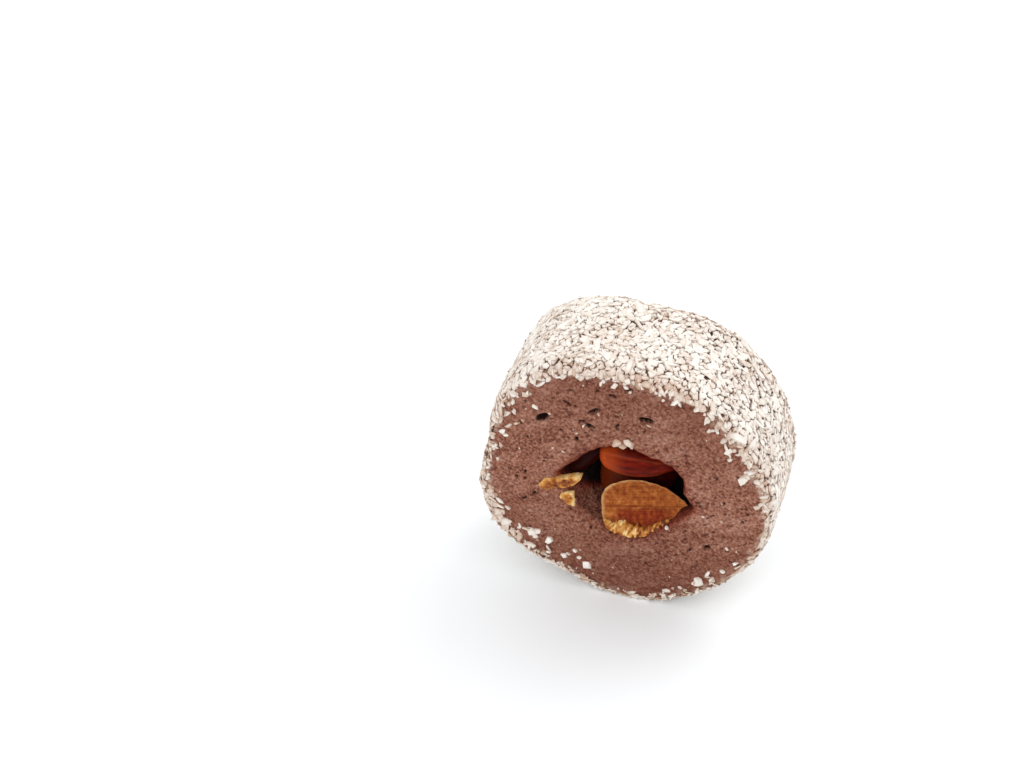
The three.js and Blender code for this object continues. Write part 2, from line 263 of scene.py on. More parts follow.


# Almond skin: the kernel's own thin seed coat, roasted to a red brown. It has a satin gloss, long fine
# wrinkles that run from the blunt end to the tip and a thin paler seam along both edges. A painted highlight
# makes the blunt end more orange, and painted shade darkens kernels that lie deep in a hollow.
def roastedAlmondSkin(add, place):
    local = add("Attribute", attribute_name="kernel").outputs["Vector"]
    stretched = add("Mapping", {"Vector": local, "Scale": (0.12, 1, 1)})
    streaks = add("TexNoise", {"Vector": stretched, "Scale": perMetre(0.8), "Detail": 4.0})
    colour = add("ValToRGB", [streaks], [(0.3, "#440903"), (0.5, "#5C0F05"), (0.7, "#80200D")])
    axes = add("SeparateXYZ", [local]).outputs
    # Painted highlight: the blunt end is lighter and more orange
    blunt = add("MapRange", [axes["X"], -1.5 * mm, -6 * mm, 0.0, 0.9])
    blotch = add("TexNoise", {"Vector": place, "Scale": perMetre(3), "Detail": 4.0})
    blotches = add("MapRange", [blotch, 0.45, 0.7, 0.0, 0.38])
    fromSeam = add("Math", [axes["Z"]], operation="ABSOLUTE")
    seam = add("MapRange", [fromSeam, 0.1 * mm, 0.3 * mm, 0.1, 0.0])
    # Painted shade darkens the kernels that lie deep in a hollow
    depthShade = add("Attribute", attribute_name="depthShade").outputs["Fac"]
    for mask, code in ((blunt, "#AE451A"), (blotches, "#3D0A05"), (seam, "#B4653A"), (depthShade, "#280704")):
        colour = add("Mix", {0: mask, 6: colour, 7: code}, data_type="RGBA")
    return foodInputs(
        add, colour, streaks, streaks, rough=(0.26, 0.42), bump=(0.3, 0.12), ior=1.47, specular=0.05)


# Split almond: the inner face of a kernel that came apart at its seam, toasted. Fine close grain runs to the
# tip, the lower half is deeper red brown, a dark line marks the seam and the broken edge is pale.
def toastedAlmondFace(add, place):
    low, line, torn = (
        add("Attribute", attribute_name=mark).outputs["Fac"] for mark in ("low", "line", "torn"))
    local = add("Attribute", attribute_name="kernel").outputs["Vector"]
    stretched = add("Mapping", {"Vector": local, "Scale": (0.05, 1, 1)})
    grain = add("TexNoise", {"Vector": stretched, "Scale": perMetre(0.35), "Detail": 4.0})
    cloud = add("TexNoise", {"Vector": place, "Scale": perMetre(0.8), "Detail": 5.0})
    toast = add("Mix", {0: 0.65, 2: grain, 3: cloud}, data_type="FLOAT")
    upper = add("ValToRGB", [toast], [(0.36, "#7C360F"), (0.5, "#9C5220"), (0.64, "#BA743A")])
    lower = add("ValToRGB", [toast], [(0.36, "#601B05"), (0.5, "#7C2B0B"), (0.64, "#9C4718")])
    half = add("Mix", {0: low, 6: upper, 7: lower}, data_type="RGBA")
    lined = add("Mix", {0: line, 6: half, 7: "#6A2A0E"}, data_type="RGBA")
    colour = add("Mix", {0: torn, 6: lined, 7: "#DDAE74"}, data_type="RGBA")
    return foodInputs(add, colour, grain, grain, rough=(0.4, 0.6), bump=(0.35, 0.1), ior=1.46, specular=0.1)


# Golden almond: torn shreds and chips of toasted kernel, dry and crinkled, with a painted highlight on the
# crests and painted shade in the folds
def goldenAlmond(add, place):
    # The mark is the tone with painted light: lighter on the crests and on top, darker in the folds
    toneAndFoldLight = add("Attribute", attribute_name="toneAndFoldLight").outputs["Fac"]
    grit = add("TexNoise", {"Vector": place, "Scale": perMetre(0.6), "Detail": 5.0})
    mixed = add("Mix", {0: 0.4, 2: toneAndFoldLight, 3: grit}, data_type="FLOAT")
    colour = add("ValToRGB", [mixed], [
        (0.26, "#54210A"), (0.4, "#8C4A18"), (0.52, "#B0702E"), (0.66, "#CC974E"), (0.82, "#E6C98E"),
    ])
    return foodInputs(add, colour, grit, grit, rough=(0.42, 0.65), bump=(0.5, 0.15), ior=1.46, specular=0.25)


looks = {slot: makeMaterial(paint) for slot, paint in {
    "nougat": chocolateNougat, "coconut": driedCoconut, "almond_skin": roastedAlmondSkin,
    "almond_flesh": toastedAlmondFace, "almond_chip": goldenAlmond,
}.items()}
print("materials made")

# The roll's section swells and flattens: angle from +X towards +Z and half width in degrees, and height
roll = {
    "axisX": -0.5, "axisZ": 26.8, "radius": 27.5, "halfLength": 12.85, "tableGap": 0.05,
    "frontRim": {"inset": 0.95, "depth": 3.3}, "rearRim": {"inset": 0.88, "depth": 5.5}, "rimSteps": 40,
    "swells": [
        (128, 20, 1.6), (208, 19, 1.4), (345, 30, 0.8), (295, 18, 0.4),
        (84, 18, -1.3), (40, 18, -0.4), (171, 12, -1.1), (246, 13, -1.5),
    ],
    "columns": 464, "sideRows": 30,
}
axisX, axisZ, radius, halfLength, tableGap = (
    roll[size] for size in ("axisX", "axisZ", "radius", "halfLength", "tableGap"))
# Relief is a list of sizes and heights, with a seed. Each cut has a low crown and is calm at its edge.
cut = {"crown": 0.5, "crownEdge": 0.95, "relief": [(7.0, 0.22), (2.4, 0.14), (0.9, 0.08)], "seed": 3,
       "calmPower": 10, "noiseApart": 40}  # keeps the noise of the two cuts apart
# The mouth's outline as x from the axis and z; each hollow draws together with a power of its depth
hollow = {
    "mouth": [
        (-12.6, 27.6), (-9.8, 30.6), (-5.6, 35.3), (0, 37.6), (4.4, 36.3), (9.4, 34.6), (11.5, 31.8),
        (11.7, 29), (13.4, 26.1), (11.3, 23.2), (9.4, 20.8), (4, 17.1), (-1.5, 16.3), (-5.6, 17.6),
        (-8.8, 20.4), (-9.9, 24.4),
    ],
    "middle": (1, 26.4), "curveSteps": 24, "narrowing": 1.5, "overshoot": 2,
    "relief": [(3.2, 0.5), (1.1, 0.2)], "seed": 4, "reliefFrom": 0.2,
    "capRows": 6, "capStart": 0.1, "capBulge": 1.2,
    "front": {"end": -1, "depth": 13.6, "mouthScale": 1.02, "innerScale": 0.57, "sink": 2.6,
              "wallRows": 34, "faceRows": 66, "hollowShade": 1},
    "rear": {"end": 1, "depth": 8.4, "mouthScale": 0.94, "innerScale": 0.7, "sink": 0,
             "wallRows": 20, "faceRows": 52, "hollowShade": 0.75},
}
# The rounded lip of the mouth, wider at two places, and its painted shade. Painted shade deepens on the wall
# between two shares of its depth, and further in on the floor, which light reaches.
lip = {"width": 0.9, "wider": [(225, 32, 2.2), (150, 20, 1.2)], "fall": 0.56, "shade": 0.34,
       "shadeWidth": 0.8, "relief": [(2.2, 0.26), (0.9, 0.24)], "seed": 14, "round": 10}
hollowShading = {"from": 0.02, "to": 0.3, "litFloor": [(228, 25, 1)], "litFrom": 0.48, "litTo": 0.6}
# Burst bubbles in the shown face: x from the axis, z, length, width, slope in degrees, depth
bubbles = [
    (-15.2, 40.3, 2.4, 1.3, 35, 1.8), (-2.4, 48.1, 1.4, 0.7, 10, 1.0), (0.6, 50.2, 1.5, 0.7, 10, 1.0),
    (4.0, 44.2, 2.4, 1.1, 8, 1.8), (-5.6, 44.2, 2.6, 0.7, 35, 0.7), (-7.6, 41.5, 1.2, 0.6, 10, 0.8),
    (-6.0, 40.7, 1.6, 0.9, -10, 1.4), (-8.6, 37.2, 0.9, 0.7, 80, 1.0), (-10.6, 44.8, 1.5, 0.6, -25, 1.0),
    (-10.2, 47.7, 1.6, 0.35, 15, 0.6), (-13.2, 45.2, 0.5, 0.5, 0, 0.7), (-11.7, 38.3, 0.5, 0.5, 0, 0.7),
    (-19.0, 38.3, 0.6, 0.5, 0, 0.7), (-18.0, 35.0, 0.6, 0.5, 0, 0.6), (-20.0, 25.0, 0.9, 0.4, 80, 0.7),
    (-18.3, 26.7, 0.8, 0.4, 80, 0.6), (-16.5, 21.8, 1.0, 0.6, 60, 0.9), (-18.3, 20.0, 0.9, 0.45, 70, 0.7),
    (16.8, 17.2, 1.1, 0.8, 20, 1.1), (13.5, 15.5, 1.9, 0.4, 55, 0.6), (22.8, 24.9, 0.6, 0.5, 90, 0.7),
    (-1.7, 15.4, 0.8, 0.5, 10, 0.7), (-1.2, 41.7, 1.6, 0.5, 60, 0.6), (3.8, 41.6, 1.2, 0.4, 50, 0.4),
]
# Painted shade fills each bubble's dent, growing between two depths
fineBubbles = {"seed": 5, "count": 70, "spread": (0.2, 0.85), "size": (0.3, 0.7), "slim": (0.5, 1),
               "slope": (0, 180), "depth": (0.2, 0.6), "warp": [(0.6, 0.1)], "warpSeeds": (51, 52),
               "shadeDepths": (0.14, 0.38)}  # dark between two depths
# Where chips press into the cuts: end, x from the axis, z, half length, half width, slope in degrees, depth
pressed = [
    (-1, -11.8, 25.7, 4.8, 2.1, 18, 0.55), (-1, -10.1, 22.3, 2.1, 2.3, 0, 0.55),
    (1, -9.5, 21.9, 3.2, 3.4, 45, 0.45),
]
farOff = {"bubble": 9, "chip": 4}  # a dent has faded out at this distance, as ovalAway gives it
# Coconut dust at the edge of a cut, and how deep the nougat's side lies, within a share of the way along
dusting = {"width": 1.2, "uneven": 0.9, "size": 1.6, "seed": 9, "side": 0.75}
underCoat = {"deep": 0.3, "within": 0.06, "relief": [(2.2, 0.12)], "seed": 6}


def sectionRadius(angle):
    degrees = np.degrees(angle) % 360
    return radius + sum(swellsAt(degrees + turn, roll["swells"]) for turn in (-360, 0, 360))


def outsideProfile():
    # share of the radius against y: a rounded cut edge, the straight side and the other rounded edge
    turn = np.linspace(0, 1, roll["rimSteps"])
    y, share = [], []
    for end, rim, order in ((-1, roll["frontRim"], 1), (1, roll["rearRim"], -1)):
        y.append((end * (halfLength - rim["depth"] * turn))[::order])
        share.append((1 - (1 - rim["inset"]) * (1 - turn) ** 2)[::order])
    y, share = np.concatenate(y), np.concatenate(share)
    run = np.concatenate([[0], np.cumsum(np.hypot(np.diff(y), radius * np.diff(share)))])
    return y, share, run / run[-1], run[-1]


profileY, profileShare, profileRun, profileLength = outsideProfile()


def outside(angle, along, lift=0.0):
    # the coat's surface at an angle, and at a share of the way from the front cut edge to the rear one
    reach = sectionRadius(angle) * np.interp(along, profileRun, profileShare) + lift
    x = axisX + reach * np.cos(angle)
    z = np.maximum(axisZ + reach * np.sin(angle), tableGap)
    return sideBySide(x, np.interp(along, profileRun, profileY), z)


def outsideFacing(angle, along, step=2e-3):
    around = outside(angle + step, along) - outside(angle - step, along)
    length = outside(angle, np.clip(along + step, 0, 1)) - outside(angle, np.clip(along - step, 0, 1))
    return unit(np.cross(length, around))


def ovalAway(x, z, middleX, middleZ, halfLong, halfWide, slope):
    # square of the distance from the middle of a sloping oval, with 1 at its edge
    right, up = x - axisX - middleX, z - middleZ
    cos, sin = math.cos(math.radians(slope)), math.sin(math.radians(slope))
    return ((right * cos + up * sin) / halfLong) ** 2 + ((up * cos - right * sin) / halfWide) ** 2


def bubbleDepth(x, z):
    # each bubble is a flat-bottomed oval dent with an uneven edge; where dents meet, the deepest one counts
    rng = np.random.default_rng(fineBubbles["seed"])
    count = fineBubbles["count"]
    turn = rng.uniform(0, 2 * np.pi, count)
    away = radius * np.sqrt(rng.uniform(*fineBubbles["spread"], count))
    size = rng.uniform(*fineBubbles["size"], count)
    fine = sideBySide(
        away * np.cos(turn), axisZ + away * np.sin(turn),
        size, size * rng.uniform(*fineBubbles["slim"], count),
        rng.uniform(*fineBubbles["slope"], count), rng.uniform(*fineBubbles["depth"], count),
    )
    deepest = np.zeros(x.shape)
    flat = sideBySide(x, 0, z)
    x, z = (
        place + reliefAt(flat, fineBubbles["warp"], seed)
        for place, seed in zip((x, z), fineBubbles["warpSeeds"]))
    for middleX, middleZ, length, width, slope, depth in np.concatenate([np.array(bubbles), fine]):
        oval = ovalAway(x, z, middleX, middleZ, length / 2, width / 2, slope)
        deepest = np.maximum(deepest, depth * np.exp(-np.minimum(oval, farOff["bubble"]) ** 2))
    return deepest


def faceHeight(x, z, end):
    # how far a cut stands out from the middle plane: a crown, unevenness and a flat oval dent under each chip
    right, up = x - axisX, z - axisZ
    share = np.hypot(right, up) / sectionRadius(np.arctan2(up, right))
    crown = cut["crown"] * np.maximum(1 - (share / cut["crownEdge"]) ** 2, 0)
    relief = reliefAt(sideBySide(x, cut["noiseApart"] * end, z), cut["relief"], cut["seed"])
    dent = 0 * x
    for side, *oval, depth in pressed:
        away = np.minimum(ovalAway(x, z, *oval), farOff["chip"])
        dent = np.maximum(dent, depth * (side == end) * np.exp(-away ** 2))
    return halfLength + crown + relief - dent


def closedCurve(points):
    # Catmull-Rom curve through the points, back to the first
    here = np.array(points, float)
    before, after, later = np.roll(here, 1, 0), np.roll(here, -1, 0), np.roll(here, -2, 0)
    t = np.linspace(0, 1, hollow["curveSteps"], endpoint=False)[:, None, None]
    curve = here + t / 2 * (after - before + t * (
        2 * before - 5 * here + 4 * after - later + t * (3 * here - before - 3 * after + later)))
    return curve.transpose(1, 0, 2).reshape(-1, 2)


def mouthRadius(angle):
    curve = closedCurve(hollow["mouth"]) - hollow["middle"]
    turn = np.arctan2(curve[:, 1], curve[:, 0])
    order = np.argsort(turn)
    return np.interp(angle, turn[order], np.hypot(*curve[order].T), period=2 * np.pi)


def cutRings(side, angle):
    # from the inner end of a hollow along its wall to the mouth, over the lip and across the cut to its edge;
    # after its place, each point has its painted shade in bubbles, its dust and its painted shade in the
    # hollow
    end = side["end"]
    rim = roll["frontRim"] if end < 0 else roll["rearRim"]
    cos, sin, degrees = np.cos(angle), np.sin(angle), np.degrees(angle)
    middleX, middleZ = axisX + hollow["middle"][0], hollow["middle"][1]
    lipPlace = sideBySide(lip["round"] * cos, cut["noiseApart"] * end, lip["round"] * sin)
    lipRough = reliefAt(lipPlace, lip["relief"], lip["seed"])

    def wallAt(y):
        inwards = halfLength + hollow["overshoot"] - end * y
        inwards = np.clip(inwards / (side["depth"] + hollow["overshoot"]), 0, 1)
        scale = side["mouthScale"] * (1 - (1 - side["innerScale"]) * inwards ** hollow["narrowing"])
        reach = scale * mouthRadius(angle) + lipRough
        return middleX + reach * cos, middleZ + reach * sin - side["sink"] * inwards

    mouthX, mouthZ = wallAt(end * halfLength + 0 * angle)
    rimReach = sectionRadius(angle) * rim["inset"]
    rimX, rimZ = axisX + rimReach * cos, axisZ + rimReach * sin
    span = np.hypot(rimX - mouthX, rimZ - mouthZ)
    across = np.linspace(0, 1, side["faceRows"])[:, None]
    x, z = mouthX + (rimX - mouthX) * across, mouthZ + (rimZ - mouthZ) * across
    calm = 1 - across ** cut["calmPower"]
    lipWidth = lip["width"] + swellsAt(degrees, lip["wider"])
    fall = lip["fall"] * lipWidth * np.maximum(1 - across * span / lipWidth, 0) ** 2
    bubble = bubbleDepth(-end * x, z) * calm
    height = halfLength + (faceHeight(x, z, end) - halfLength) * calm - fall - bubble
    uneven = dusting["uneven"] * lumps(sideBySide(x, 0, z), dusting["size"], dusting["seed"])
    dust = smoothStep(uneven + dusting["width"] - (1 - across) * span, 0, dusting["width"])
    # Less painted shade on the floor of the hollow, which light reaches
    unshaded = swellsAt(degrees, hollowShading["litFloor"])
    lipShade = lip["shade"] * (1 - np.sqrt(unshaded))
    shade = lipShade * np.exp(-across * span / lip["shadeWidth"])
    face = sideBySide(x, end * height, z, smoothStep(bubble, *fineBubbles["shadeDepths"]), dust, shade)

    lipY, innerY = face[0, :, 1], end * (halfLength - side["depth"])
    inner = np.linspace(1, 0, side["wallRows"], endpoint=False)[:, None]
    y = lipY + (innerY - lipY) * inner
    x, z = wallAt(y)
    grow = reliefAt(sideBySide(x, y, z), hollow["relief"], hollow["seed"])
    grow *= np.minimum(inner / hollow["reliefFrom"], 1)
    # Painted shade grows along the wall towards the inner end
    shadeFrom, shadeTo = hollowShading["from"] + hollowShading["litFrom"] * unshaded, hollowShading["to"] + hollowShading["litTo"] * unshaded
    shadedIn = smoothStep(inner, shadeFrom, shadeTo)
    hollowShade = lipShade + (side["hollowShade"] - lipShade) * shadedIn
    wall = sideBySide(x + grow * cos, y, z + grow * sin, 0, 0, hollowShade)

    closing = np.linspace(hollow["capStart"], 1, hollow["capRows"], endpoint=False)[:, None, None]
    cap = wall[:1] * closing + (1 - closing) * wall[0].mean(axis=0)
    cap[..., 1] = innerY - end * hollow["capBulge"] * (1 - closing[..., 0] ** 2)
    # The closed inner end gets the full painted shade
    cap[..., 5] = side["hollowShade"]
    return np.concatenate([cap, wall, face])


def nougatRings():
    # the front cut from its hollow outwards, the side under the coat, and the rear cut back into its hollow
    angle = fullTurn(roll["columns"])
    front, rear = (cutRings(hollow[side], angle) for side in ("front", "rear"))
    along = np.linspace(0, 1, roll["sideRows"] + 2)[1:-1, None]
    covered = np.minimum(np.minimum(along, 1 - along) / underCoat["within"], 1)
    relief = reliefAt(outside(angle, along), underCoat["relief"], underCoat["seed"])
    side = outside(angle, along, (relief - underCoat["deep"]) * covered)
    marks = 0 * side + [0, dusting["side"], 0]
    return np.concatenate([front, np.concatenate([side, marks], axis=-1), rear[::-1]])


points, faces = closeSkin(nougatRings())
# The marks are painted shade in the bubbles, dust, and painted shade in the hollow
makePiece(
    "nougat", points[:, :3], faces, "nougat", ["nougat_roll"],
    {"poreShade": points[:, 3], "dust": points[:, 4], "hollowShade": points[:, 5]},
)

# The coconut bed is packed like paving: spacing of its sites, share of them left out, slits, sizes and tones
coatBed = {
    "seed": 11, "spacing": 1.0, "leftOut": 0.34, "neighbours": 3, "corners": 11, "turn": 0.4, "least": 0.06,
    "farthest": 2.2, "slit": (-0.34, 0.42), "thick": (0.24, 0.4), "lean": 0.1, "lift": (-0.16, 0.08),
    "tone": (0.15, 1.0), "drawnIn": 0.92, "curl": (0.0, 0.0),
    "worn": [(25, 40, 0.2)],  # angle, half width in degrees and wider slits where the bed is rubbed
    "clump": (4.5, 8, 0.4, -0.1),  # size, seed, height and least height of the clumps that thicken the coat
    "step": 1e-3,  # change of angle that gives the direction round the coat
}
# How far from the front cut edge the bed is broken up: angle, half width in degrees, width of the strip
brokenEdge = {
    "least": 0.3, "power": 0.7, "places": [(188, 34, 2.6), (228, 22, 1.8), (128, 20, 0.4), (270, 40, 0.8)],
}
# Loose flakes on the bed: spacing of their sites, sizes, how far they lean and stand out
looseFlakes = {
    "flakes": {"seed": 12, "spacing": 1.6, "length": (1.0, 3.5), "width": (0.5, 1.7), "thick": (0.12, 0.26),
               "lean": 0.11, "lift": (0.06, 0.22), "tone": (0.2, 1.0), "corners": 6, "drawnIn": 0.94,
               "curl": (-0.06, 0.12)},
    "crumbs": {"seed": 13, "spacing": 1.5, "length": (0.4, 1.2), "width": (0.2, 0.6), "thick": (0.12, 0.3),
               "lean": 0.3, "lift": (0.05, 0.22), "tone": (0.0, 1.0), "corners": 4, "drawnIn": 0.85,
               "curl": (0.0, 0.0)},
}
siteJitter = 0.45  # share of a cell
# By the cut edges the flakes are stained: width of the strip, how uneven it is, their tone, and the stain and
# painted shade of their edges there
stainedShadedEdge = {"width": 3.2, "uneven": 1.3, "size": 2.5, "seed": 9, "tone": 0.4, "stainAndShade": 1.1}
# How unevenly a plate rises, how high its middle is, and the stain and painted shade of its lower ring, upper
# ring and middle
plateForm = {"rise": 0.22, "middle": 0.55, "stainAndShade": [1.0, 0.4, 0.0]}
# How far a loose flake turns from its direction, and how unevenly its corners are turned and reach out
flakeForm = {"wander": 0.9, "turn": 0.36, "reach": (0.7, 1.15)}


def plateMesh(rng, base, axes, across, over, kind):
    # each plate is a lower ring, an upper ring drawn in a little and the middle of its top; curled plates
    # bend up with the square of the distance along them
    count, corners = across.shape
    thick = rng.uniform(*kind["thick"], count)[:, None]
    curl = rng.uniform(*kind["curl"], count)[:, None] * across ** 2
    low = curl - thick / 2
    high = low + thick * rng.uniform(1 - plateForm["rise"], 1 + plateForm["rise"], (count, corners))
    middle = np.zeros((count, 1))
    share = kind["drawnIn"]
    ring = sideBySide(
        np.concatenate([across, share * across, middle], axis=1),
        np.concatenate([over, share * over, middle], axis=1),
        np.concatenate([low, high, thick * plateForm["middle"]], axis=1),
    )
    points = base[:, None] + ring @ axes
    points[..., 2] = np.maximum(points[..., 2], tableGap)
    k = np.arange(corners)
    after = (k + 1) % corners
    top = sideBySide(2 * corners, corners + k, corners + after)
    sides = sideBySide(k, after, corners + after), sideBySide(k, corners + after, corners + k)
    under = sideBySide(0, after[1:-1], k[1:-1])
    faces = np.concatenate([top, *sides, under])
    each = (2 * corners + 1) * np.arange(count)[:, None, None]
    tone = np.repeat(rng.uniform(*kind["tone"], count), 2 * corners + 1)
    edge = np.tile(np.repeat(plateForm["stainAndShade"], [corners, corners, 1]), count)
    return points.reshape(-1, 3), [(faces + each).reshape(-1, 3)], {"tone": tone, "edge": edge}


def flakeCloud(rng, sites, facing, kind, towards=None):
    # loose flakes: uneven plates with few corners, turned at random or mostly along a given direction
    count, corners = len(sites), kind["corners"]
    up = unit(facing + kind["lean"] * rng.normal(size=(count, 3)))
    wander = rng.normal(size=(count, 3))
    ahead = unit(np.cross(up, wander if towards is None else towards + flakeForm["wander"] * wander))
    right = np.cross(ahead, up)
    length = rng.uniform(*kind["length"], count)[:, None]
    width = np.minimum(rng.uniform(*kind["width"], count)[:, None], length)
    shift = rng.uniform(-flakeForm["turn"], flakeForm["turn"], (count, corners))
    turn = 2 * np.pi * (np.arange(corners) + shift) / corners
    reach = rng.uniform(*flakeForm["reach"], (count, corners)) / 2
    base = sites + up * rng.uniform(*kind["lift"], count)[:, None]
    axes = np.stack([right, ahead, up], axis=1)
    return plateMesh(rng, base, axes, reach * length * np.cos(turn), reach * width * np.sin(turn), kind)


def coatSwell(angle, along):
    size, seed, height, least = coatBed["clump"]
    return height * np.maximum(lumps(outside(angle, along), size, seed), least)


def packedBed():
    # one site to a cell of a grid, some left out; in each direction a plate reaches half way to its
    # neighbours
    rng = np.random.default_rng(coatBed["seed"])
    girth = 2 * math.pi * radius
    rows, columns = int(profileLength / coatBed["spacing"]), int(girth / coatBed["spacing"])
    cell = np.array([profileLength / rows, girth / columns])
    shift = rng.uniform(0, 1, (rows, columns, 2))
    kept = rng.uniform(size=(rows, columns)) > coatBed["leftOut"]
    row, column = np.nonzero(kept)
    here = (sideBySide(row, column) + shift[row, column]) * cell
    corners = coatBed["corners"]
    turn = np.arange(corners) + rng.uniform(-coatBed["turn"], coatBed["turn"], (len(here), corners))
    turn = 2 * np.pi * turn / corners
    ray = sideBySide(np.cos(turn), np.sin(turn))
    reach = np.full(turn.shape, coatBed["farthest"])
    near = range(-coatBed["neighbours"], coatBed["neighbours"] + 1)
    for down, over in ((down, over) for down in near for over in near if (down, over) != (0, 0)):
        nextRow, nextColumn = row + down, column + over
        stored = np.clip(nextRow, 0, rows - 1), nextColumn % columns
        real = (nextRow >= 0) & (nextRow < rows) & kept[stored]
        gap = (sideBySide(nextRow, nextColumn) + shift[stored]) * cell - here
        slant = np.einsum("nkc,nc->nk", ray, gap)
        half = (gap ** 2).sum(axis=-1)[:, None] / 2 / np.maximum(slant, 1e-6)
        reach = np.where(real[:, None] & (slant > 0), np.minimum(reach, half), reach)
    along, angle = here[:, 0] / profileLength, here[:, 1] / radius
    worn = swellsAt(np.degrees(angle), coatBed["worn"])[:, None]
    reach = np.maximum(reach - (rng.uniform(*coatBed["slit"], reach.shape) + worn) / 2, coatBed["least"])
    broken = brokenEdge["least"] + swellsAt(np.degrees(angle), brokenEdge["places"])
    laid = outside(angle, along)[:, 2] > 2 * tableGap
    laid &= here[:, 0] > broken * rng.uniform(size=len(here)) ** brokenEdge["power"]
    here, along, angle, reach, ray = (values[laid] for values in (here, along, angle, reach, ray))
    across = np.clip(reach * ray[..., 0], -here[:, :1], profileLength - here[:, :1])
    local = sectionRadius(angle) * np.interp(along, profileRun, profileShare) / radius
    up = unit(outsideFacing(angle, along) + coatBed["lean"] * rng.normal(size=(len(here), 3)))
    around = outside(angle + coatBed["step"], along) - outside(angle - coatBed["step"], along)
    right = unit(np.cross(around, up))
    axes = np.stack([right, np.cross(up, right), up], axis=1)
    base = outside(angle, along, coatSwell(angle, along))
    base += up * rng.uniform(*coatBed["lift"], len(here))[:, None]
    return plateMesh(rng, base, axes, across, reach * ray[..., 1] * local[:, None], coatBed)


def coatSites(rng, spacing):
    # staggered rows over the coat, each site moved at random within its cell
    rows = int(profileLength / (spacing * math.sin(math.pi / 3)))
    columns = int(2 * math.pi * radius / spacing)
    row, column = np.mgrid[:rows, :columns].reshape(2, -1)
    turn = (column + row % 2 / 2 + rng.uniform(-siteJitter, siteJitter, row.size)) / columns
    along = (row + 0.5 + rng.uniform(-siteJitter, siteJitter, row.size)) / rows
    return 2 * np.pi * turn, along


def layCoat():
    clouds = {"bed": packedBed()}
    for name, kind in looseFlakes.items():
        rng = np.random.default_rng(kind["seed"])
        angle, along = coatSites(rng, kind["spacing"])
        sites = outside(angle, along, coatSwell(angle, along))
        clear = sites[:, 2] > 2 * tableGap
        clouds[name] = flakeCloud(rng, sites[clear], outsideFacing(angle, along)[clear], kind)
    for name, (points, faces, marks) in clouds.items():
        # By the cut edges the tone falls and the edge mark, stain and painted shade, grows
        fromEdge = halfLength - np.abs(points[:, 1])
        fromEdge += stainedShadedEdge["uneven"] * lumps(points, stainedShadedEdge["size"], stainedShadedEdge["seed"])
        clean = smoothStep(fromEdge, 0, stainedShadedEdge["width"])
        marks["tone"] *= stainedShadedEdge["tone"] + (1 - stainedShadedEdge["tone"]) * clean
        marks["edge"] *= 1 + stainedShadedEdge["stainAndShade"] * (1 - clean)
        makePiece(
            "coconut_" + name, points, faces, "coconut", ["nougat_roll"], marks, smooth=False,
        )


layCoat()

# Flakes caught round the cut edges, from just outside them, tilted outwards. At some places they straggle on
# to the face: angle, half width in degrees, share of the flakes that stay there and how far they go
fringe = {
    "seed": 21, "tries": {-1: 640, 1: 560}, "outside": 0.4, "tilt": 0.4, "length": (0.7, 2.4),
    "width": (0.5, 1.4), "thick": (0.15, 0.35), "lean": 0.3, "lift": (-0.05, 0.12), "tone": (0.0, 0.45),
    "corners": 6, "drawnIn": 0.86, "curl": (-0.05, 0.1),
}
straggle = {"share": 0.16, "least": 0.35, "places": [
    (45, 30, 0.6, 0.5), (95, 16, 0.3, 0.1), (128, 18, 0.4, 0.4), (152, 12, 0.5, 0.8), (180, 16, 0.4, 0.4),
    (211, 13, 1, 1.3), (230, 10, 0.4, 0.5), (264, 34, 0.6, 0.15), (302, 14, 0.4, 0.7),
]}
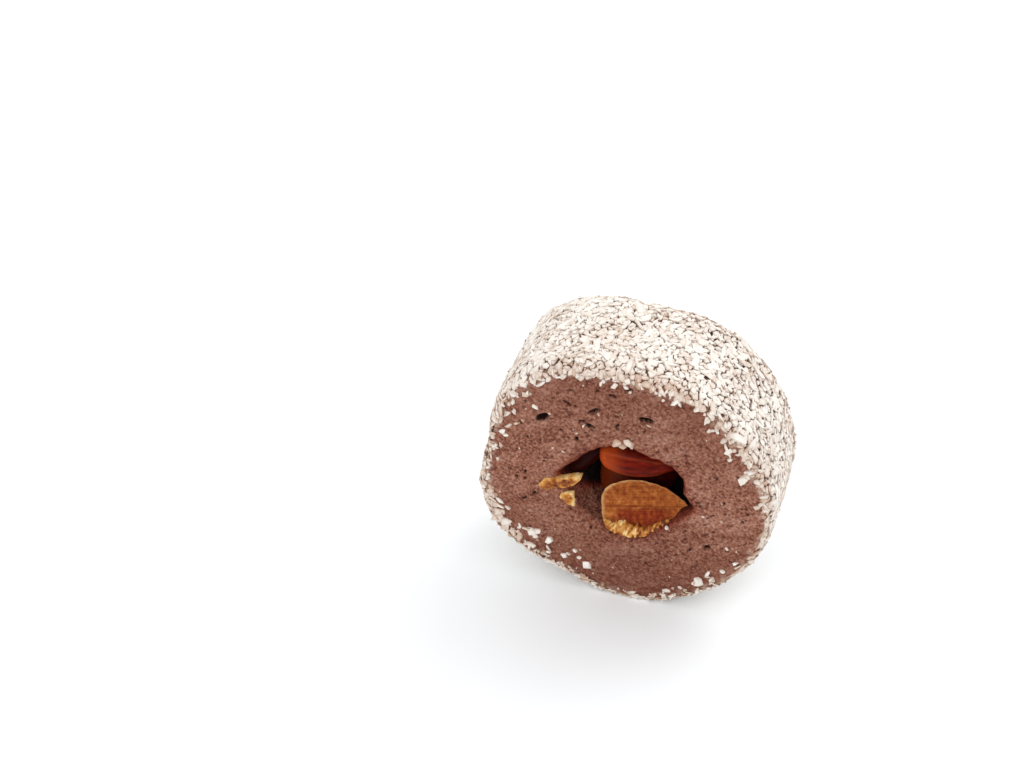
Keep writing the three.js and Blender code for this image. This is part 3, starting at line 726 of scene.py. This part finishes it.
# Flakes placed one by one on the shown face, otherwise like the fringe: x from the axis, z, length, width
chosenForm = {"lean": 0.25, "drawnIn": 0.74, "facing": (0.0, -1.0, 0.15)}
chosenFlakes = {
    "standOut": {"seed": 22, "thick": (0.45, 0.8), "tone": (0.25, 0.95), "flakes": [
        (-17, 48.2, 1.8, 1), (-15.5, 48, 2.5, 0.7), (-13.5, 51.3, 1.6, 1), (-12, 50.3, 2.4, 0.5),
        (-8.8, 51.5, 1.8, 1.2), (-6.8, 51.4, 1.6, 0.9), (2.8, 51.4, 1.6, 1), (4.8, 51.3, 2, 0.7),
        (6.2, 50.8, 1.6, 1), (9.2, 49.7, 3.6, 1.1), (13, 49, 1.8, 1), (15.5, 48.2, 2, 1),
        (15.3, 44.6, 1.2, 0.7), (16.8, 44.7, 1.4, 0.8), (18.2, 46, 1.8, 1), (19, 41, 4.2, 0.7),
        (19.6, 39.2, 1.4, 0.8), (20.6, 43.8, 5.4, 2.1), (22.4, 43.6, 4.4, 1.8), (23.2, 39, 3.4, 1.4),
        (22.5, 35.2, 2.2, 1.8), (-17, 12, 3.2, 2.4), (-13.4, 10.8, 2.1, 1.9), (-22, 13.3, 3.5, 2.4),
        (-10.5, 7.5, 1.9, 1.6), (-8.3, 9.3, 1.5, 1.1), (-6.2, 6.5, 2.8, 2.4), (-13.5, 7.5, 1.4, 0.7),
        (-11, 4.8, 1.8, 1), (15.3, 7.7, 3.2, 2.8), (18, 9.3, 1.8, 0.9), (17.3, 10.7, 1.6, 0.8),
        (20, 11.8, 1.4, 1), (22.2, 14.5, 1.4, 0.8), (-20.5, 44.5, 1.8, 1), (-20.7, 42.6, 1.6, 0.9),
        (-22.8, 35.2, 2, 1.3), (-22, 34.5, 1.4, 0.8), (9, 20, 1, 0.9), (21.9, 34.6, 1.9, 1.5),
        (23.3, 36.9, 2.8, 1.3), (22.9, 35.9, 1.8, 1.4), (-15.7, 12.5, 2.1, 1.7), (-16.2, 11, 1.9, 1.3),
        (-7.5, 7.9, 1.3, 0.8), (-9.6, 8.1, 1.3, 0.7),
    ]},
    # Lumps on the lower left edge, given a darker tone
    "darkerLumps": {"seed": 26, "thick": (0.5, 0.9), "tone": (0.03, 0.2), "flakes": [
        (-24.6, 19.4, 2.2, 1.5), (-24.3, 17.2, 2.6, 1.8), (-23.7, 15.2, 2.8, 2), (-22.3, 11.8, 2.8, 2),
        (-20.8, 11, 2.4, 1.8), (-19.4, 9.9, 2.2, 1.6), (-23.2, 13.6, 3, 2.2), (-25, 21.2, 1.8, 1.3),
    ]},
    "roofOfHollow": {"seed": 24, "thick": (0.5, 0.8), "tone": (0.03, 0.16), "flakes": [
        (-1, 38, 2.4, 1.9), (0.9, 38.5, 2.6, 1.9), (0.1, 37.5, 1.7, 1.3), (1.7, 37.8, 1.5, 1.1),
    ]},
    # Pale flecks on the lit lips of the bubbles stand for a painted highlight
    "highlightFlecks": {"seed": 25, "thick": (0.2, 0.35), "tone": (0.03, 0.2), "flakes": [
        (-13.8, 41.6, 0.9, 0.5), (-7.3, 40.6, 1.4, 0.4), (-4.6, 43.7, 0.9, 0.5), (-8.5, 38.6, 0.9, 0.35),
        (-13, 33.9, 0.9, 0.5), (-11, 33.6, 0.9, 0.3), (15.6, 24.6, 0.7, 0.6), (19, 24.2, 0.8, 0.7),
        (20.4, 17.8, 1, 0.7), (4.6, 43.2, 1.2, 0.3),
    ]},
}
# Specks spread from the mouth to a share of the section, closer together near its edge
specks = {
    "seed": 23, "count": 30, "fromMouth": 1.2, "edge": 0.93, "power": 0.7, "length": (0.35, 0.75),
    "width": (0.3, 0.6), "thick": (0.15, 0.3), "lean": 0.4, "lift": (0.0, 0.1), "tone": (0.0, 0.2),
    "corners": 4, "drawnIn": 0.75, "curl": (0.0, 0.0),
}


def layFringe():
    rng = np.random.default_rng(fringe["seed"])
    sites, facing, outwards = [], [], []
    for end, rim in ((-1, roll["frontRim"]), (1, roll["rearRim"])):
        angle = rng.uniform(0, 2 * np.pi, fringe["tries"][end])
        share, reach = straggle["share"], straggle["least"]
        for place, width, more, further in straggle["places"]:
            near = swellsAt(np.degrees(angle), [(place, width, 1)])
            share, reach = share + more * near, reach + further * near
        stays = rng.uniform(size=len(angle)) < share
        angle, reach = angle[stays], reach[stays]
        edge = sectionRadius(angle) * rim["inset"]
        away = edge + fringe["outside"] - rng.exponential(reach)
        out = sideBySide(np.cos(angle), 0, np.sin(angle))
        x, z = axisX + away * out[:, 0], axisZ + away * out[:, 2]
        y = end * np.where(away > edge, halfLength, faceHeight(x, z, end))
        sites.append(sideBySide(x, y, z))
        facing.append(fringe["tilt"] * out + [0, end, 0])
        outwards.append(out)
    sites, facing, outwards = (np.concatenate(parts) for parts in (sites, facing, outwards))
    clear = sites[:, 2] > 3 * tableGap
    return flakeCloud(rng, sites[clear], facing[clear], fringe, outwards[clear])


def layChosen(group):
    # the listed flakes, each with its own size, flat on the shown face; those past its edge lie on the coat
    right, z, lengths, widths = np.array(group["flakes"]).T
    rng = np.random.default_rng(group["seed"])
    x = axisX + right
    angle = np.arctan2(z - axisZ, right)
    past = np.hypot(z - axisZ, right) - sectionRadius(angle) * roll["frontRim"]["inset"]
    along = np.maximum(past, 0) / profileLength
    onCoat = past[:, None] > 0
    sites = np.where(onCoat, outside(angle, along), sideBySide(x, -faceHeight(x, z, -1), z))
    facing = np.where(onCoat, outsideFacing(angle, along), chosenForm["facing"])
    clouds = []
    for site, out, length, width in zip(sites, facing, lengths, widths):
        kind = {**fringe, **chosenForm, **group, "length": (length, length), "width": (width, width)}
        clouds.append(flakeCloud(rng, site[None], out[None], kind))
    return joinClouds(clouds)


def laySpecks():
    rng = np.random.default_rng(specks["seed"])
    turn = rng.uniform(0, 2 * np.pi, specks["count"])
    inner, outer = mouthRadius(turn) + specks["fromMouth"], sectionRadius(turn) * specks["edge"]
    away = inner + (outer - inner) * rng.uniform(0, 1, specks["count"]) ** specks["power"]
    x = axisX + away * np.cos(turn)
    z = hollow["middle"][1] + away * np.sin(turn)
    sites = sideBySide(x, -faceHeight(x, z, -1), z)
    return flakeCloud(rng, sites, np.tile([0.0, -1.0, 0.0], (len(sites), 1)), specks)


def joinClouds(clouds):
    offsets = np.cumsum([0] + [len(points) for points, _, _ in clouds])
    points = np.concatenate([cloud[0] for cloud in clouds])
    faces = [np.concatenate([cloud[1][0] + offset for cloud, offset in zip(clouds, offsets)])]
    marks = {mark: np.concatenate([cloud[2][mark] for cloud in clouds]) for mark in clouds[0][2]}
    return points, faces, marks


for name, (points, faces, marks) in {
    "coconut_fringe": layFringe(),
    "coconut_on_face": joinClouds([*map(layChosen, chosenFlakes.values()), laySpecks()]),
}.items():
    makePiece(name, points, faces, "coconut", ["nougat_roll"], marks, smooth=False)

# Almonds: length, width and thickness, the kernel's middle (x from the axis), turns about X, Y and Z in
# degrees, and how much painted shade darkens it deep in its hollow
almonds = {
    "almond_upper": {"size": (15, 9.4, 7), "at": (2.6, -9, 31.9), "turn": (-35, 0, -3), "depthShade": 0},
    "almond_behind": {"size": (16.4, 10.2, 7), "at": (1.6, -1.1, 21.5), "turn": (50, 4, 8), "depthShade": 0.55},
    "almond_left": {"size": (14.5, 8.8, 6.6), "at": (-10.4, -4.2, 26.4), "turn": (0, -36, 0), "depthShade": 0.97},
    "almond_rear_upper": {"size": (16, 9.2, 6.8), "at": (3.8, 8, 30.7), "turn": (24, 8, -8), "depthShade": 0.1},
    "almond_rear_lower": {
        "size": (17, 10.2, 6.6), "at": (1.2, 8.8, 21.9), "turn": (-52, 4, 6), "depthShade": 0.25,
    },
}
splitAlmond = {"size": (17.2, 10.2, 7), "at": (4.1, -10.2, 21), "turn": (57.6, -8.5, 13.5)}
kernel = {"point": 0.58, "blunt": 0.36, "slim": 0.28, "rows": 70, "columns": 96,
          "wrinkles": [(0.9, 0.09)], "stretch": 0.14}


def placeKernel(points, piece):
    # turns about X, then Y, then Z, each in the frame that the one before left
    a, b, c = np.radians(piece["turn"])
    aboutX = np.array([[1, 0, 0], [0, math.cos(a), -math.sin(a)], [0, math.sin(a), math.cos(a)]])
    aboutY = np.array([[math.cos(b), 0, math.sin(b)], [0, 1, 0], [-math.sin(b), 0, math.cos(b)]])
    aboutZ = np.array([[math.cos(c), -math.sin(c), 0], [math.sin(c), math.cos(c), 0], [0, 0, 1]])
    return points @ (aboutX @ aboutY @ aboutZ).T + np.array(piece["at"]) + [axisX, 0, 0]


def kernelGirth(along):
    # half girth of a kernel of unit size: drawn out at the tip, full at the blunt end
    power = 1 + kernel["point"] * (1 + along) / 2 - kernel["blunt"] * (1 - along) / 2
    return np.maximum(1 - along ** 2, 0) ** (power / 2) * (1 - kernel["slim"] * along)


def almondRings(size, seed):
    # rings round the kernel from its blunt end to its tip, drawn in and out by wrinkles that run along it
    turn = np.linspace(0, np.pi, kernel["rows"] + 2)[1:-1, None]
    around = fullTurn(kernel["columns"])
    along = -np.cos(turn)
    girth = kernelGirth(along)
    smoothForm = sideBySide(
        along * size[0] / 2, girth * size[1] / 2 * np.cos(around), girth * size[2] / 2 * np.sin(around),
    )
    swell = 1 + reliefAt(smoothForm * [kernel["stretch"], 1, 1], kernel["wrinkles"], seed) * 2 / size[2]
    return smoothForm * sideBySide(1, swell, swell)


for seed, (name, piece) in enumerate(almonds.items()):
    local, faces = closeSkin(almondRings(piece["size"], seed))
    # each kernel's darkness mark is painted shade for how deep it lies
    makePiece(
        name + "_kernel", placeKernel(local, piece), faces, "almond_skin", [name],
        {"kernel": local * mm, "depthShade": np.full(len(local), piece["depthShade"])},
    )

# The split kernel's dished face with its seam line, long grain and crumbled edge. The redder half fades in
# below the line and out towards both ends, and the pale broken edge shows at the top.
splitForm = {
    "faceRows": 46, "backRows": 26, "columns": 200, "start": 0.03, "dish": 0.3,
    "ragged": [(0.8, 0.022)], "grain": [(0.35, 0.04)], "grainStretch": 0.08, "grainPower": 8,
    "lip": 0.3, "lipFrom": 0.9, "lipShare": 0.6, "crumbleSize": 0.6,
    "seeds": {"ragged": 2, "grain": 8, "crumble": 5},
    "line": {"at": 0.28, "width": 0.16, "depth": 0.12, "shade": 0.7, "power": 6},
    "red": {"below": (-0.1, 1.1), "blunt": (-7, -4.4), "tip": (3, 6.4), "fade": 0.75},
    "pale": {"above": (-3, 0.5), "tip": (0, 3), "fade": 0.7},
}


def splitRings():
    # rings spread from the middle of the flat face to the kernel's outline, then close over its round back;
    # after its place, each point has its redness, paleness and line
    length, width, thick = splitAlmond["size"]
    turn = fullTurn(splitForm["columns"])
    along = -np.cos(turn)
    outline = sideBySide(along * length / 2, np.sign(np.sin(turn)) * kernelGirth(along) * width / 2)
    seeds = splitForm["seeds"]
    jag = reliefAt(sideBySide(*outline.T, 0), splitForm["ragged"], seeds["ragged"])
    outline *= 1 + jag[:, None]
    out = np.linspace(splitForm["start"], 1, splitForm["faceRows"])[:, None]
    x, y = out * outline[:, 0], out * outline[:, 1]
    seam, red, pale = splitForm["line"], splitForm["red"], splitForm["pale"]
    fromLine = y - seam["at"] * (1 - 2 * x / length)
    line = np.exp(-(fromLine / seam["width"]) ** 2) * (1 - out ** seam["power"])
    grain = reliefAt(sideBySide(x * splitForm["grainStretch"], y, 0), splitForm["grain"], seeds["grain"])
    grain *= 1 - out ** splitForm["grainPower"]
    crumble = lumps(sideBySide(x, y, 0), splitForm["crumbleSize"], seeds["crumble"])
    edge = smoothStep(out, splitForm["lipFrom"], 1) * np.clip(splitForm["lipShare"] * (1 + crumble), 0, 1)
    z = grain + splitForm["lip"] * edge - splitForm["dish"] * (1 - out ** 2) - seam["depth"] * line
    low = smoothStep(-fromLine, *red["below"]) * smoothStep(x, *red["blunt"])
    low = low * (1 - red["fade"] * smoothStep(x, *red["tip"]))
    torn = edge * smoothStep(y, *pale["above"]) * (1 - pale["fade"] * smoothStep(x, *pale["tip"]))
    face = sideBySide(x, y, z, low, torn, seam["shade"] * line)
    back = np.linspace(1, splitForm["start"], splitForm["backRows"])[1:, None]
    depth = -thick / 2 * np.sqrt(1 - back ** 2)
    skin = sideBySide(back * outline[:, 0], back * outline[:, 1], depth, 1, 0, 0)
    return np.concatenate([face, skin])[:, ::-1]


local, faces = closeSkin(splitRings())
makePiece(
    "almond_split_kernel", placeKernel(local[:, :3], splitAlmond), faces, "almond_flesh", ["almond_split"],
    {"kernel": local[:, :3] * mm, "low": local[:, 3], "torn": local[:, 4], "line": local[:, 5]},
)

# The torn rim along the split kernel's lower edge, from one turn of its outline to another. Its folds have a
# size, a depth and a painted lightness: a painted highlight on their crests and painted shade in their
# hollows.
# The rim is painted lighter on top. Its height changes by a share between two shares of the way.
frayedRim = {
    "rows": 320, "columns": 48, "turn": (9, 132), "reach": 0.8, "flare": (0.3, 0, 0.13), "lift": 0.2,
    "thickness": 1.4, "height": 2.4, "changes": [(0.2, 0, -0.25), (0.55, 0.75, -0.42), (0.85, 0.95, 0.3)],
    "ends": 0.1, "endPower": 5, "folds": [(1.0, 0.34, 0.55), (0.42, 0.22, 0.45), (0.2, 0.1, 0.2)],
    "foldSeed": 7, "stretch": 0.6, "slant": 0.3, "spread": 0.5, "pale": 0.4, "litTop": 0.1,
    "ragged": 0.6, "tears": (3, 0.8, 3),  # place across the noise, size and seed
}


def rimRings():
    # an oval section carried along the edge and crumpled by folds that run across it, its inner edge ragged;
    # after its place, each point has its tone with painted light: lighter on the fold crests and on top
    length, width, _ = splitAlmond["size"]
    share = np.linspace(0, 1, frayedRim["rows"])[:, None]
    start, stop = frayedRim["turn"]
    turn = np.radians(start + (stop - start) * share)
    along = -np.cos(turn)
    near, far, flare = frayedRim["flare"]
    reach = frayedRim["reach"] + flare * smoothStep(share, near, far)
    path = reach / 2 * np.concatenate([length * along, -width * kernelGirth(along), 0 * turn], axis=1)
    ahead = unit(np.gradient(path, axis=0))
    outwards = sideBySide(ahead[:, 1], -ahead[:, 0], 0)
    run = np.concatenate([[0], np.cumsum(np.linalg.norm(np.diff(path, axis=0), axis=1))])[:, None]
    around = fullTurn(frayedRim["columns"])
    cos, sin = np.cos(around), np.sin(around)
    ends = frayedRim["ends"]
    taper = ends + (1 - ends) * np.sqrt(np.clip(1 - np.abs(2 * share - 1) ** frayedRim["endPower"], 0, 1))
    tall = 1 + sum(change * smoothStep(share, low, high) for low, high, change in frayedRim["changes"])
    across, size, seed = frayedRim["tears"]
    tears = lumps(sideBySide(run, 0, across), size, seed)
    high = frayedRim["height"] / 2 * taper * tall * (1 + frayedRim["ragged"] * tears * np.maximum(-cos, 0))
    deep = frayedRim["thickness"] / 2 * taper
    across = frayedRim["stretch"] * sideBySide(high * cos, deep * sin)
    place = np.concatenate([run[..., None] + frayedRim["slant"] * cos[:, None], across], axis=-1)
    # Painted light: paler on top and darker below, paler on the fold crests and darker in the folds
    push, toneAndFoldLight = 0, frayedRim["pale"] + frayedRim["litTop"] * sin
    for seed, (size, depth, foldLight) in enumerate(frayedRim["folds"], frayedRim["foldSeed"]):
        fold = lumps(place, size, seed)
        push, toneAndFoldLight = push + depth * taper * fold, toneAndFoldLight + foldLight * fold
    over, lift = (high + frayedRim["spread"] * push) * cos, (deep + push) * sin + frayedRim["lift"]
    rings = path[:, None] + over[..., None] * outwards[:, None] + lift[..., None] * np.array([0, 0, 1.0])
    return np.concatenate([rings, np.clip(toneAndFoldLight, 0, 1)[..., None]], axis=-1)


local, faces = closeSkin(rimRings())
makePiece(
    "almond_split_torn_rim", placeKernel(local[:, :3], splitAlmond), faces, "almond_chip", ["almond_split"],
    {"toneAndFoldLight": local[:, 3]},
)

# Golden chips stuck to the cut faces: outline as x from the axis and z, and their front and back
chips = {
    "chip_upper": {"outline": [
        (-15.9, 24), (-14.8, 25.8), (-11.4, 26.7), (-9.3, 27.7), (-7.6, 28.1), (-8.3, 26.5), (-9.8, 25.1),
        (-12.2, 24.5), (-13.8, 23.4), (-15.2, 23.3),
    ], "front": -13.5, "back": -11.6, "pale": 0.31},
    "chip_lower": {"outline": [
        (-11.5, 22.3), (-11.3, 23.2), (-8.9, 24), (-8.7, 20.7), (-9.8, 20.5), (-10.7, 21.5),
    ], "front": -13.5, "back": -12.2, "pale": 0.53},
    "chip_rear": {"outline": [
        (-12, 22.2), (-9.2, 24.8), (-7.2, 22.6), (-8.2, 19.4), (-10.8, 19.2),
    ], "front": 13.5, "back": 12, "pale": 0.4},
}
# Crinkles and ridges have a size, a height and a painted lightness, a painted highlight on their crests and
# painted shade in their hollows; the edge falls away and is paler
chipForm = {
    "seed": 30, "faceRows": 26, "steps": 26, "start": 0.04, "jags": [(0.8, 0.22), (0.35, 0.1)],
    "crinkle": (1.0, 0.3, 0.16), "ridge": (0.4, 0.12, 0.25),
    "edge": 0.3, "edgePower": 6, "edgeCalm": 0.8, "paleEdge": 0.5, "palePower": 4,
}


def chipRings(chip, seed):
    # rings spread from the middle of the outline to its edge on the front, and close again on the back; after
    # its place, each point has its tone with painted fold light
    corners = np.array(chip["outline"]) + [axisX, 0]
    after = np.roll(corners, -1, axis=0)
    t = np.linspace(0, 1, chipForm["steps"], endpoint=False)[:, None, None]
    outline = (corners + (after - corners) * t).transpose(1, 0, 2).reshape(-1, 2)
    middle = corners.mean(axis=0)
    jag = reliefAt(sideBySide(*outline.T, 0), chipForm["jags"], seed)
    outline = outline + unit(outline - middle) * jag[:, None]
    out = np.linspace(chipForm["start"], 1, chipForm["faceRows"])
    shares = np.concatenate([out, out[::-1]])[:, None]
    isBack = np.repeat([0.0, 1.0], chipForm["faceRows"])[:, None]
    x, z = (middle[axis] + shares * (outline[:, axis] - middle[axis]) for axis in (0, 1))
    flat = sideBySide(x, 0, z)
    edge = chipForm["edge"] * shares ** chipForm["edgePower"]
    toneAndFoldLight = chip["pale"] + chipForm["paleEdge"] * shares ** chipForm["palePower"]
    relief = -edge * (1 - chipForm["edgeCalm"] * lumps(flat, chipForm["crinkle"][0], seed))
    # Painted highlight on the crinkles' crests and painted shade in their hollows
    for size, height, foldLight in (chipForm["crinkle"], chipForm["ridge"]):
        fold = lumps(flat, size, seed)
        relief, toneAndFoldLight = relief + height * fold, toneAndFoldLight + foldLight * fold
    towards = np.sign(chip["front"] - chip["back"])
    front = chip["front"] + towards * relief
    y = front + (chip["back"] + towards * edge - front) * isBack
    rings = sideBySide(x, y, z, np.clip(toneAndFoldLight, 0, 1))
    return rings if towards > 0 else rings[:, ::-1]


for seed, (name, chip) in enumerate(chips.items(), chipForm["seed"]):
    points, faces = closeSkin(chipRings(chip, seed))
    makePiece(name + "_shard", points[:, :3], faces, "almond_chip", [name], {"toneAndFoldLight": points[:, 3]})

# Table, light and camera. The camera's place and lens were fitted to the roll's outlines in the photograph.
stage = {
    "tableSize": 4000, "table": ("#EFF2F4", "#F2F5F7"), "cloud": 60, "sky": ("#FFFFFF", 1.04),
    "camera": (61.86, -286.16, 273.91), "lookAt": (-38.5, 43.24, 0),
    "lens": 71.46, "sensor": 36, "nearest": 10,
    "lamps": {
        "window": {"at": (300, 420, 520), "aim": (0, 0, 25), "size": 500, "watts": 1.8},
        "frontFill": {"at": (-250, -700, 650), "aim": (0, 0, 25), "size": 600, "watts": 2.0},
    },
}


# White table: smooth painted board, nearly even in tone
def whiteTable(add, place):
    cloud = add("TexNoise", {"Vector": place, "Scale": perMetre(stage["cloud"])})
    colour = add("ValToRGB", [cloud], [(0.3, stage["table"][0]), (0.7, stage["table"][1])])
    return {"Base Color": colour, "Roughness": 0.6, "IOR": 1.45}


def aimed(item, at, aim):
    item.location = np.array(at) * mm
    back = np.array(at, float) - np.array(aim)
    away = math.hypot(back[0], back[1])
    item.rotation_euler = (math.atan2(away, back[2]), 0, math.atan2(back[0], -back[1]))
    bpy.context.scene.collection.objects.link(item)


def setStage():
    scene = bpy.context.scene
    half = stage["tableSize"] / 2 * mm
    table = bpy.data.meshes.new("table")
    corners = [(-half, -half, 0), (half, -half, 0), (half, half, 0), (-half, half, 0)]
    table.from_pydata(corners, [], [(0, 1, 2, 3)])
    table.materials.append(makeMaterial(whiteTable))
    floor = bpy.data.objects.new("table", table)
    scene.collection.objects.link(floor)
    scene.world = bpy.data.worlds.new("studio")
    scene.world.use_nodes = True
    sky = scene.world.node_tree.nodes["Background"]
    sky.inputs["Color"].default_value = hexColor(stage["sky"][0])
    sky.inputs["Strength"].default_value = stage["sky"][1]
    for name, lamp in stage["lamps"].items():
        light = bpy.data.lights.new(name, "AREA")
        light.size = lamp["size"] * mm
        light.energy = lamp["watts"]
        aimed(bpy.data.objects.new(name, light), lamp["at"], lamp["aim"])
    camera = bpy.data.cameras.new("camera")
    camera.lens = stage["lens"]
    camera.sensor_width = stage["sensor"]
    camera.clip_start = stage["nearest"] * mm
    viewer = bpy.data.objects.new("camera", camera)
    aimed(viewer, stage["camera"], stage["lookAt"])
    scene.camera = viewer
    scene.view_settings.view_transform = "Standard"


setStage()
print("stage set")
